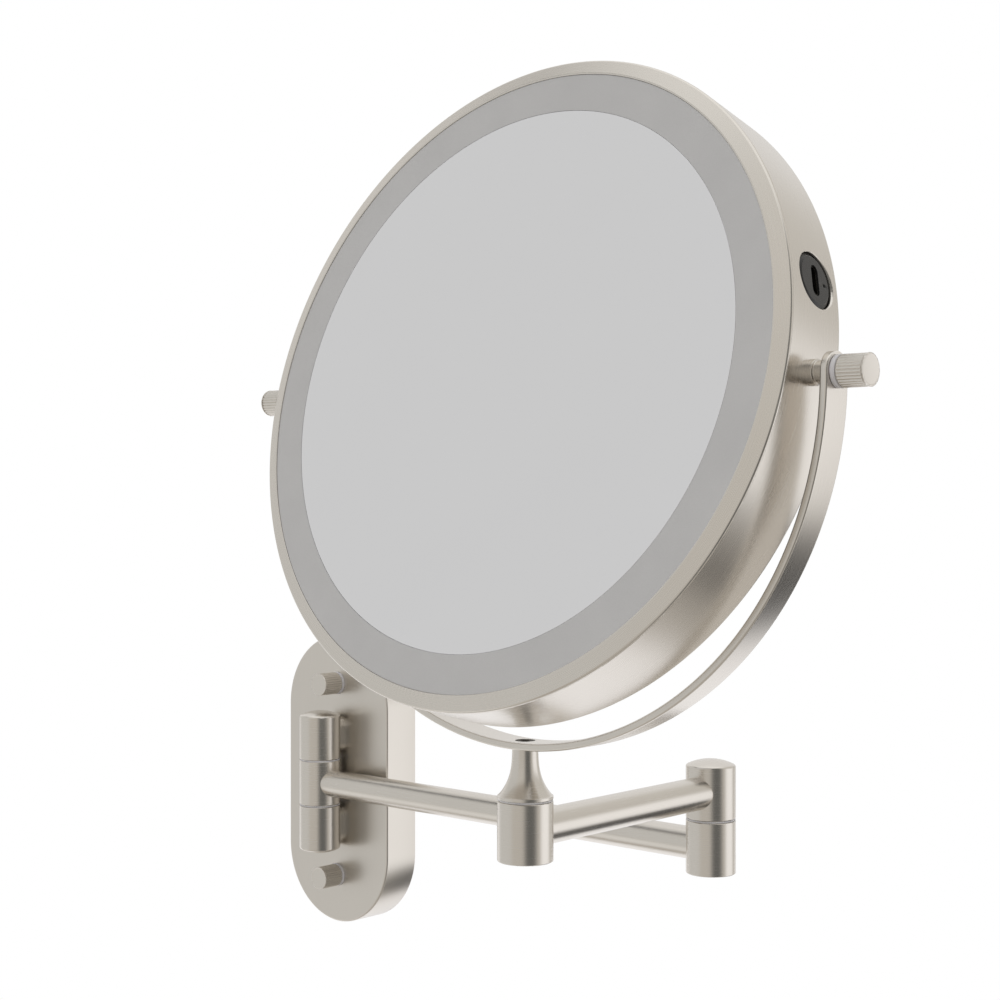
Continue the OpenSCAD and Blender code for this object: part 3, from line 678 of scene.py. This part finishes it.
for axis, low, body, name in ((elbow_axis, -barrel_half, "outer_arm", "elbow"), (post_axis, knuckle_low.z,
                                                                                 "yoke", "post")):
    washer_low, washer_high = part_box(name + "_spring_washer")
    washer_radius = (washer_high.x - washer_low.x) / 2
    washer = turned(ring_profile(2.1 * mm, washer_radius, washer_low.z, washer_high.z), closed=True)
    round_edges(washer, 0.12 * mm, segments=2)
    place_piece(washer, axis)
    finish_piece(washer, name + "_keeper_washer", body, [name + "_spring_washer"], zinc_steel)
    screw_low, screw_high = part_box(name + "_screw")
    screw = cross_screw(4 * mm, washer_low.z - screw_low.z)
    place_piece(screw, (axis.x, axis.y, washer_low.z))
    finish_piece(screw, name + "_keeper_screw", body, [name + "_screw"], zinc_steel)

paint(zinc_steel, "elbow_pin")

# ---- Post and yoke ----
# The post is turned with a thin flange and a hollow flare up to its neck. The yoke is a flat steel strip
# bent to a half ring, with round ends, its edges softened, held to the post by one countersunk screw.

nylon_washer("post_ring", "yoke", "post_washer", post_axis, knuckle_low.z + 2 * barrel_half)
head_middle = joints["head_tilt"]
yoke_low, yoke_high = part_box("yoke_band")
yoke_outer = (yoke_high.x - yoke_low.x) / 2
yoke_thick = 2.4 * mm
yoke_inner = yoke_outer - yoke_thick
yoke_width = yoke_high.y - yoke_low.y
flange_foot = knuckle_low.z + 2 * barrel_half + washer_height
flange_height = 1 * mm
neck_radius = 4 * mm
flare_top = head_middle.z - yoke_inner - 1.6 * mm
flare_steps = 22
flare_power = 3.1
shoulder = barrel_radius - 0.3 * mm
profile = [(0, flange_foot), (barrel_radius, flange_foot), (barrel_radius, flange_foot + flange_height)]
for step in range(flare_steps + 1):
    rise = step / flare_steps
    radius = neck_radius + (shoulder - neck_radius) * (1 - rise) ** flare_power
    profile.append((radius, flange_foot + flange_height + (flare_top - flange_foot - flange_height) * rise))
profile.append((0, flare_top))
post_flare = turned(profile)
round_edges(post_flare, 0.25 * mm, segments=3, angle=40)
place_piece(post_flare, post_axis)
finish_piece(post_flare, "post_flare", "yoke", ["flared_post"], post_nickel)

deselect()
bpy.ops.mesh.primitive_plane_add(size=1, location=head_middle - Vector((yoke_inner + yoke_thick / 2, 0, 0)))
yoke = bpy.context.object
yoke.scale = (yoke_thick, yoke_width, 1)
bpy.ops.object.transform_apply(location=True, rotation=True, scale=True)
edit(yoke)
bpy.ops.mesh.select_all(action="SELECT")
bpy.ops.mesh.bevel(offset=0.65 * mm, segments=4, affect="VERTICES")
bpy.ops.mesh.select_all(action="SELECT")
bpy.ops.mesh.spin(steps=160, angle=pi, center=head_middle, axis=(0, 1, 0), use_normal_flip=False)
bpy.ops.mesh.select_all(action="SELECT")
bpy.ops.mesh.remove_doubles(threshold=0.002 * mm)
end_steps = 10
for side in (-1, 1):
    pick(yoke, "vertices", lambda corner, way: abs(corner.z - head_middle.z) < 0.01 * mm
         and side * (corner.x - head_middle.x) > 0)
    bpy.ops.mesh.edge_face_add()
    width_now = yoke_width
    height_now = 0.0
    for step in range(1, end_steps + 1):
        lean = radians(88) * step / end_steps
        rise = yoke_width / 2 * sin(lean)
        wide = yoke_width * cos(lean)
        bpy.ops.mesh.extrude_region_move(TRANSFORM_OT_translate={"value": (0, 0, rise - height_now)})
        bpy.ops.transform.resize(value=(1, wide / width_now, 1), center_override=head_middle)
        width_now, height_now = wide, rise
bpy.ops.mesh.select_all(action="SELECT")
bpy.ops.mesh.normals_make_consistent(inside=False)
bpy.ops.object.mode_set(mode="OBJECT")
screw_low, screw_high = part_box("yoke_screw")
screw_radius = (screw_high.x - screw_low.x) / 2
bpy.ops.mesh.primitive_cylinder_add(vertices=64, radius=screw_radius + 0.15 * mm, depth=1.8 * mm,
                                    location=(post_axis.x, post_axis.y,
                                              head_middle.z - yoke_inner - 0.9 * mm + 0.1 * mm))
cutter = bpy.context.object
cut = yoke.modifiers.new("screw seat", "BOOLEAN")
cut.object = cutter
cut.operation = "DIFFERENCE"
cut.solver = "EXACT"
apply_all(yoke)
bpy.data.objects.remove(cutter)
yoke_nickel = nickel("nickel yoke", middle=head_middle, turn=(radians(90), 0, 0))
finish_piece(yoke, "yoke_ring", "yoke", ["yoke_band"], yoke_nickel)

screw_head = turned([(0, -1.6 * mm), (screw_radius, -1.6 * mm), (screw_radius, 0), (0, 0)])
round_edges(screw_head, 0.2 * mm, segments=2)
apply_all(screw_head)
bpy.ops.mesh.primitive_cylinder_add(vertices=6, radius=1.5 * mm, depth=2 * mm)
cutter = bpy.context.object
cut = screw_head.modifiers.new("hex", "BOOLEAN")
cut.object = cutter
cut.operation = "DIFFERENCE"
cut.solver = "EXACT"
apply_all(screw_head)
bpy.data.objects.remove(cutter)
place_piece(screw_head, (post_axis.x, post_axis.y, screw_high.z))
# Blackened steel for the yoke screw. On the socket shell the same near black is painted shade inside the
# slot.
black_steel_and_port_shade = zinc("blackened steel", dull=(0.05, 0.045, 0.04, 1), bright=(0.09, 0.08, 0.07, 1))
finish_piece(screw_head, "yoke_hex_screw", "yoke", ["yoke_screw"], black_steel_and_port_shade)

# ---- Head rim ----
# A rolled and welded steel band, brushed round and plated. Its hole for the charging port has a
# softened edge, and a collar turned from the same metal holds it off the yoke at each pivot.

rim_low, rim_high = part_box("head_rim")
head_radius = (rim_high.x - rim_low.x) / 2
rim_wall = 1.3 * mm
glass_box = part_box("front_mirror")
disc_radius = (glass_box[1].x - glass_box[0].x) / 2
# The disc's box is as tall as its tilt makes it, which gives the tilt back
rim_depth = 22.8 * mm
span_y = rim_high.y - rim_low.y
span_z = rim_high.z - rim_low.z
tilt = atan2(span_y * 2 * head_radius - span_z * rim_depth, span_z * 2 * head_radius - span_y * rim_depth)
head_turn = (pi / 2 - tilt, 0, 0)
head_matrix = Matrix.Translation(head_middle) @ Matrix.Rotation(pi / 2 - tilt, 4, "X")
rim_half = rim_depth / 2
rim_rows = 12
port_angle = radians(15.3)
port_back = 1 * mm
port_radius = 8.2 * mm

rim_profile = [(head_radius - rim_wall, -rim_half)]
rim_profile += [(head_radius, -rim_half + rim_depth * row / rim_rows) for row in range(rim_rows + 1)]
rim_profile += [(head_radius - rim_wall, rim_half)]
rim = turned(rim_profile, steps=320, closed=True)
lip = 0.5 * mm
flare = 1.2 * mm
cutter = turned([(0, head_radius - 6 * mm), (port_radius, head_radius - 6 * mm), (port_radius,
                                                                                  head_radius - lip),
                 (port_radius + flare, head_radius - lip + flare), (0, head_radius - lip + flare)])
place_piece(cutter, (0, 0, -port_back), (0, pi / 2, port_angle))
cut = rim.modifiers.new("port", "BOOLEAN")
cut.object = cutter
cut.operation = "DIFFERENCE"
cut.solver = "EXACT"
apply_all(rim)
bpy.data.objects.remove(cutter)
round_edges(rim, 0.2 * mm, segments=3, angle=30)
apply_all(rim)
place_piece(rim, head_middle, head_turn)
rim_nickel = nickel("nickel rim", middle=head_middle, turn=head_turn)
finish_piece(rim, "rim", "head", ["head_rim"], rim_nickel)

collar_profile = [(2.3, 100.5), (3.6, 100.5), (3.6, 103.4), (3.15, 103.6), (3.15, 106.75), (2.3, 106.75)]
collar_nickel = {}
for side, name in ((-1, "left"), (1, "right")):
    collar = turned([(radius * mm, out * mm) for radius, out in collar_profile], closed=True)
    round_edges(collar, 0.12 * mm, segments=2, angle=30)
    place_piece(collar, head_middle, (0, side * pi / 2, 0))
    collar_nickel[side] = nickel("nickel " + name + " pivot", middle=head_middle, turn=(0, side * pi / 2, 0))
    finish_piece(collar, name + "_pivot_collar", "head", [name + "_collar"],
                 collar_nickel[side])

# ---- Knobs ----
# Knurled like the cover nuts, each with a nylon washer against the yoke. They clamp the tilt.

knob_low, knob_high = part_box("right_knob")
knob_radius = (knob_high.z - knob_low.z) / 2
washer_low, washer_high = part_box("right_knob_washer")
knob_length = knob_high.x - washer_high.x
for side, name in ((-1, "left"), (1, "right")):
    knob = grip(knob_radius, knob_length)
    seat = side * (washer_high.x - head_middle.x)
    along = (0, side * pi / 2, 0)
    place_piece(knob, head_middle + Vector((seat, 0, 0)), along)
    finish_piece(knob, name + "_knob_grip", name + "_knob_body", [name + "_knob"],
                 collar_nickel[side])
    thickness = washer_high.x - washer_low.x
    washer = turned(ring_profile(2.3 * mm, knob_radius, -thickness, 0), closed=True)
    round_edges(washer, 0.25 * mm, segments=3)
    place_piece(washer, head_middle + Vector((seat, 0, 0)), along)
    finish_piece(washer, name + "_knob_ring", name + "_knob_body", [name + "_knob_washer"],
                 nylon_white)

# ---- Bezels ----
# Two spun rings that cap the rim and slope up to the glass. Their outer corner is rounded.

bezel_height = 12.2 * mm
crown = 13.6 * mm
glass_top = 13.3 * mm
glass_thick = 3 * mm
glass_radius = head_radius - 5.15 * mm
mirror_radius = disc_radius
ledge = glass_top - glass_thick
corner = 0.9 * mm
slope = atan2(crown - bezel_height, head_radius - glass_radius)
corner_radius = head_radius - corner
corner_height = bezel_height - corner * (1 - sin(slope)) / cos(slope)
corner_steps = 7
bezel_profile = [
    (glass_radius - 2.9 * mm, ledge - 1 * mm), (head_radius - rim_wall - 0.05 * mm, ledge - 1 * mm),
    (head_radius - rim_wall - 0.05 * mm, rim_half), (head_radius, rim_half)]
for step in range(corner_steps + 1):
    lean = (pi / 2 - slope) * step / corner_steps
    bezel_profile.append((corner_radius + corner * cos(lean), corner_height + corner * sin(lean)))
bezel_profile += [
    (glass_radius + 0.45 * mm, crown), (glass_radius + 0.05 * mm,
                                        crown - 0.1 * mm), (glass_radius + 0.05 * mm, ledge),
    (glass_radius - 2.9 * mm, ledge)]
bezel_nickel = nickel("nickel bezel", middle=head_middle, turn=head_turn, rough=(0.22, 0.30))
for side, name in ((1, "front"), (-1, "rear")):
    bezel = turned([(radius, side * height) for radius, height in bezel_profile], steps=320, closed=True)
    round_edges(bezel, 0.22 * mm, segments=3, angle=25)
    place_piece(bezel, head_middle, head_turn)
    finish_piece(bezel, name + "_bezel_ring", "head", [name + "_bezel"], bezel_nickel)

# ---- Glass ----
# Each side has one silvered disc and a sand-blasted ring round it that spreads the lamps' light.
# The front is flat. The rear is slumped to a shallow hollow and magnifies.

def frosted(name):
    """Sand-blasted glass over unlit lamps: an even grey, fine-grained and almost matt."""
    material = bpy.data.materials.new(name)
    material.use_nodes = True
    tree = material.node_tree
    shader = tree.nodes["Principled BSDF"]
    place = put(tree, "ShaderNodeTexCoord").outputs["Object"]
    blast = put(tree, "ShaderNodeTexNoise", {"Vector": place, "Scale": 3600.0, "Detail": 3.0})
    cloud = put(tree, "ShaderNodeTexNoise", {"Vector": place, "Scale": 60.0, "Detail": 2.0})
    mottle = put(tree, "ShaderNodeMath", {0: blast.outputs["Fac"], 1: cloud.outputs["Fac"]}, operation="ADD")
    colour = blend_colours(tree, remap(tree, mottle.outputs[0], 0.7, 1.3, 0.0, 1.0),
                           (0.74, 0.745, 0.765, 1), (0.79, 0.795, 0.815, 1))
    tree.links.new(colour, shader.inputs["Base Color"])
    tree.links.new(remap(tree, blast.outputs["Fac"], 0.3, 0.7, 0.5, 0.62), shader.inputs["Roughness"])
    bump = put(tree, "ShaderNodeBump", {"Strength": 0.06, "Distance": 0.02 * mm,
                                        "Height": blast.outputs["Fac"]})
    tree.links.new(bump.outputs[0], shader.inputs["Normal"])
    return material


def silvered(name):
    """Silvered glass, very slightly hazed in places by wiping."""
    material = bpy.data.materials.new(name)
    material.use_nodes = True
    tree = material.node_tree
    shader = tree.nodes["Principled BSDF"]
    place = put(tree, "ShaderNodeTexCoord").outputs["Object"]
    haze = put(tree, "ShaderNodeTexNoise", {"Vector": place, "Scale": 14.0, "Detail": 5.0, "Distortion": 1.5})
    colour = blend_colours(tree, haze.outputs["Fac"], (0.89, 0.895, 0.92, 1), (0.905, 0.91, 0.935, 1))
    tree.links.new(colour, shader.inputs["Base Color"])
    tree.links.new(remap(tree, haze.outputs["Fac"], 0.35, 0.75, 0.03, 0.06), shader.inputs["Roughness"])
    shader.inputs["Metallic"].default_value = 1.0
    return material


frosted_glass = frosted("sand-blasted glass")
silvered_glass = silvered("silvered glass")
hollow_depth = 5.1 * mm
hollow_bend = (mirror_radius ** 2 + hollow_depth ** 2) / (2 * hollow_depth)
hollow_steps = 40


def hollow(radius, bend, deep):
    """Height of a shallow bowl's surface above its deepest point's level."""
    return deep + bend - sqrt(bend ** 2 - radius ** 2)


for side, name in ((1, "front"), (-1, "rear")):
    ring = turned([(radius, side * height) for radius, height in ring_profile(
        mirror_radius + 0.05 * mm, glass_radius, ledge, glass_top)], steps=320, closed=True)
    round_edges(ring, 0.1 * mm, segments=2)
    place_piece(ring, head_middle, head_turn)
    finish_piece(ring, name + "_frosted_ring", "head", [name + "_light_ring"],
                 frosted_glass)
    if side > 0:
        outline = [(0, ledge), (mirror_radius, ledge), (mirror_radius, glass_top), (0, glass_top)]
    else:
        radii = [mirror_radius * step / hollow_steps for step in range(hollow_steps + 1)]
        face = [(r, -(glass_top - hollow_depth + hollow(r, hollow_bend, 0))) for r in radii]
        back_bend = hollow_bend + glass_thick
        back = [(r, -(glass_top - hollow_depth - glass_thick + hollow(r, back_bend, 0))) for r in radii]
        outline = face + back[::-1]
    disc = turned(outline, steps=320)
    round_edges(disc, 0.08 * mm, segments=2, angle=45)
    place_piece(disc, head_middle, head_turn)
    finish_piece(disc, name + "_mirror_disc", "head", [name + "_mirror"], silvered_glass)

# ---- Charging port ----
# A round black moulding pressed into the rim, with a bevelled edge, a slot for the plug and a pin-hole lamp.
# Inside the slot are the socket's drawn steel shell, painted near black as the slot's shade, and its black
# tongue.

def plastic(name, dark, light, rough=(0.42, 0.55)):
    """Moulded plastic with a fine spark-eroded grain."""
    material = bpy.data.materials.new(name)
    material.use_nodes = True
    tree = material.node_tree
    shader = tree.nodes["Principled BSDF"]
    place = put(tree, "ShaderNodeTexCoord").outputs["Object"]
    grain = put(tree, "ShaderNodeTexNoise", {"Vector": place, "Scale": 2600.0, "Detail": 3.0})
    cloud = put(tree, "ShaderNodeTexNoise", {"Vector": place, "Scale": 90.0, "Detail": 2.0})
    wear_and_highlight = put(tree, "ShaderNodeGroup", {}, node_tree=edge_wear_and_highlight)
    wear_and_highlight.inputs["Width"].default_value = 0.25 * mm
    tree.links.new(place, wear_and_highlight.inputs["Vector"])
    base = blend_colours(tree, cloud.outputs["Fac"], dark, light)
    # Lighter on the edges: partly rubbed wear, partly a painted highlight.
    rubbed_and_lit = tuple(min(1, 1.35 * value + 0.01) for value in light[:3]) + (1,)
    tree.links.new(blend_colours(tree, wear_and_highlight.outputs["Wear"], base, rubbed_and_lit), shader.inputs["Base Color"])
    tree.links.new(remap(tree, grain.outputs["Fac"], 0.3, 0.7, rough[0], rough[1]),
                   shader.inputs["Roughness"])
    bump = put(tree, "ShaderNodeBump", {"Strength": 0.12, "Distance": 0.02 * mm,
                                        "Height": grain.outputs["Fac"]})
    tree.links.new(bump.outputs[0], shader.inputs["Normal"])
    return material


black_plastic = plastic("black moulding", (0.016, 0.016, 0.017, 1), (0.024, 0.024, 0.025, 1), rough=(0.24,
                                                                                                     0.30))
port_turn = Matrix.Rotation(port_angle, 4, "Z") @ Matrix.Translation((0, 0, -port_back))
port_turn = port_turn @ Matrix.Rotation(pi / 2, 4, "Y")
port_face = head_radius - 0.4 * mm
plate_radius = port_radius - 0.12 * mm
slot_width = 9.18 * mm
slot_height = 3.5 * mm


plate = turned([(0, port_face - 2.9 * mm), (plate_radius, port_face - 2.9 * mm), (plate_radius,
                                                                                  port_face - 0.8 * mm),
                (plate_radius - 1.2 * mm, port_face), (0, port_face)])
round_edges(plate, 0.18 * mm, segments=3, angle=25)
apply_all(plate)
slot_cutter = stadium_bar(slot_width, slot_height, 8 * mm, (0, 0, port_face))
deselect()
bpy.ops.mesh.primitive_cylinder_add(vertices=32, radius=0.6 * mm, depth=2 * mm, location=(4.5 * mm, 0,
                                                                                          port_face))
lamp_cutter = bpy.context.object
for cutter in (slot_cutter, lamp_cutter):
    cut = plate.modifiers.new("opening", "BOOLEAN")
    cut.object = cutter
    cut.operation = "DIFFERENCE"
    cut.solver = "EXACT"
    apply_all(plate)
    bpy.data.objects.remove(cutter)


def place_in_port(piece):
    deselect()
    piece.select_set(True)
    bpy.context.view_layer.objects.active = piece
    piece.matrix_world = head_matrix @ port_turn
    bpy.ops.object.transform_apply(location=True, rotation=True, scale=True)
    return piece


finish_piece(place_in_port(plate), "port_moulding", "head", ["port_plate"], black_plastic)

socket_width = 8.94 * mm
socket_height = 3.26 * mm
socket_length = 8.6 * mm
socket_face = port_face - 0.5 * mm
shell_bar = stadium_bar(socket_width, socket_height, socket_length, (0, 0, socket_face - socket_length / 2))
edit(shell_bar)
pick(shell_bar, "polygons", lambda middle, way: way.z > 0.9)
bpy.ops.mesh.delete(type="FACE")
bpy.ops.object.mode_set(mode="OBJECT")
shell = shell_bar.modifiers.new("shell", "SOLIDIFY")
shell.thickness = 0.35 * mm
shell.offset = -1
apply_all(shell_bar)
# The shell is painted near black as the shade inside the slot.
finish_piece(place_in_port(shell_bar), "socket_shell", "head", ["charge_socket"], black_steel_and_port_shade)

tongue_length = 5.8 * mm
deselect()
bpy.ops.mesh.primitive_cube_add(size=1, location=(0, 0, socket_face - 1.4 * mm - tongue_length / 2),
                                scale=(0.7 * mm, 6.6 * mm, tongue_length))
tongue = bpy.context.object
bpy.ops.object.transform_apply(location=True, rotation=True, scale=True)
round_edges(tongue, 0.12 * mm, segments=2)
finish_piece(place_in_port(tongue), "socket_tongue", "head", ["charge_socket"],
             black_plastic)

# ---- Inside the head ----
# A white moulded frame carries the light boards, the charger board and a flat cell. None of it is
# seen when the head is closed, so the solids stay and get their plain workshop finishes.

white_plastic = plastic("white moulding", (0.80, 0.80, 0.78, 1), (0.88, 0.88, 0.86, 1))
board_green = plastic("board lacquer", (0.02, 0.11, 0.05, 1), (0.03, 0.16, 0.07, 1), rough=(0.25, 0.35))
cell_foil = plastic("cell foil", (0.52, 0.53, 0.55, 1), (0.62, 0.63, 0.65, 1), rough=(0.25, 0.38))
insert_brass = nickel("insert brass", middle=head_middle, turn=(0, pi / 2, 0))
paint(white_plastic, "core_frame", "front_backing", "rear_backing", "front_led_board", "rear_led_board")
paint(board_green, "circuit_board")
paint(cell_foil, "battery")
paint(black_plastic, "battery_leads", "touch_sensor")
paint(zinc_steel, "backing_screws")
paint(insert_brass, "pivot_inserts")

# ---- Studio ----
# A plain pale floor well below the mirror, soft panels of light all round, and a level camera.

deselect()
bpy.ops.mesh.primitive_plane_add(size=14, location=(0, 0, -0.62))
floor = bpy.context.object
floor.name = "floor"
floor_paint = bpy.data.materials.new("pale floor")
floor_paint.use_nodes = True
tree = floor_paint.node_tree
tree.nodes.clear()
output = put(tree, "ShaderNodeOutputMaterial")
rays = put(tree, "ShaderNodeLightPath")
glow = put(tree, "ShaderNodeEmission", {"Color": (1, 1, 1, 1), "Strength": 1.0})
matt = put(tree, "ShaderNodeBsdfDiffuse", {"Color": (0.52, 0.50, 0.475, 1)})
choice = put(tree, "ShaderNodeMixShader", {0: rays.outputs["Is Camera Ray"], 1: matt.outputs[0],
                                           2: glow.outputs[0]})
tree.links.new(choice.outputs[0], output.inputs["Surface"])
floor.data.materials.append(floor_paint)
floor.visible_glossy = False
floor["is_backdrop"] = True

view_side = 42.419
# Each panel: azimuth and half width, lowest and highest elevation, softness, all in degrees, and its colour.
# Azimuth 0 is straight out from the wall, and it grows to the right.
panels = [
    (view_side - 95, 30, -12, 70, 15, (0.65, 0.645, 0.63)),
    (view_side - 178, 28, 0, 65, 26, (0.83, 0.82, 0.81)),
    (view_side - 178, 44, -70, -16, 12, (1.04, 1.03, 1.04)),
    (view_side - 95, 14, -40, -26, 9, (0.86, 0.85, 0.83)),
    (view_side - 105, 12, 41, 47, 4, (0.03, 0.03, 0.03)),
    (view_side + 89, 15, -20, 3, 16, (1.08, 1.07, 1.07)),
    (view_side + 118, 12, -41, -27, 8, (0.05, 0.05, 0.05)),
    (view_side + 21, 12, -50, 50, 24, (0.14, 0.14, 0.135)),
    (0, 180, 66, 90, 16, (1.0, 0.995, 0.98))]

world = bpy.data.worlds.new("studio")
bpy.context.scene.world = world
world.use_nodes = True
tree = world.node_tree
tree.nodes.clear()
output = put(tree, "ShaderNodeOutputWorld")
way = put(tree, "ShaderNodeTexCoord").outputs["Generated"]
axes = put(tree, "ShaderNodeSeparateXYZ", {0: way})
flipped = put(tree, "ShaderNodeMath", {0: axes.outputs[1], 1: -1.0}, operation="MULTIPLY")
azimuth = put(tree, "ShaderNodeMath", {0: axes.outputs[0], 1: flipped.outputs[0]},
              operation="ARCTAN2").outputs[0]
elevation = put(tree, "ShaderNodeMath", {0: axes.outputs[2]}, operation="ARCSINE").outputs[0]
glow_colour = blend_colours(tree, remap(tree, elevation, radians(-50), radians(50), 0.0, 1.0),
                      (0.50, 0.47, 0.43, 1), (0.70, 0.68, 0.645, 1))
for side, half, low, high, soft, bright in panels:
    offset = put(tree, "ShaderNodeMath", {0: azimuth, 1: radians(side)}, operation="SUBTRACT")
    wrapped = put(tree, "ShaderNodeMath", {0: offset.outputs[0], 1: pi, 2: -pi}, operation="WRAP")
    away = put(tree, "ShaderNodeMath", {0: wrapped.outputs[0]}, operation="ABSOLUTE")
    soft = radians(soft)
    across = put(tree, "ShaderNodeMapRange", {0: away.outputs[0], 1: radians(half), 2: radians(half) + soft,
                                              3: 1.0, 4: 0.0},
                 interpolation_type="SMOOTHSTEP")
    above = put(tree, "ShaderNodeMapRange", {0: elevation, 1: radians(low) - soft, 2: radians(low), 3: 0.0,
                                             4: 1.0},
                interpolation_type="SMOOTHSTEP")
    below = put(tree, "ShaderNodeMapRange", {0: elevation, 1: radians(high), 2: radians(high) + soft,
                                             3: 1.0, 4: 0.0},
                interpolation_type="SMOOTHSTEP")
    share = put(tree, "ShaderNodeMath", {0: across.outputs[0], 1: above.outputs[0]}, operation="MULTIPLY")
    share = put(tree, "ShaderNodeMath", {0: share.outputs[0], 1: below.outputs[0]}, operation="MULTIPLY")
    glow_colour = blend_colours(tree, share.outputs[0], glow_colour, bright + (1,))
studio = put(tree, "ShaderNodeBackground", {"Color": glow_colour, "Strength": 1.0})
white = put(tree, "ShaderNodeBackground", {"Color": (1, 1, 1, 1), "Strength": 1.0})
rays = put(tree, "ShaderNodeLightPath")
choice = put(tree, "ShaderNodeMixShader", {0: rays.outputs["Is Camera Ray"], 1: studio.outputs[0],
                                           2: white.outputs[0]})
tree.links.new(choice.outputs[0], output.inputs["Surface"])

bpy.ops.object.camera_add(location=(0.5515, -0.5166, 0.1202), rotation=(pi / 2, 0, radians(view_side)))
camera = bpy.context.object
camera.data.sensor_width = 36
camera.data.lens = 62.31
camera.data.shift_y = -0.0022
camera.data.clip_start = 0.01
bpy.context.scene.camera = camera
bpy.context.scene.view_settings.view_transform = "Standard"

low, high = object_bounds()
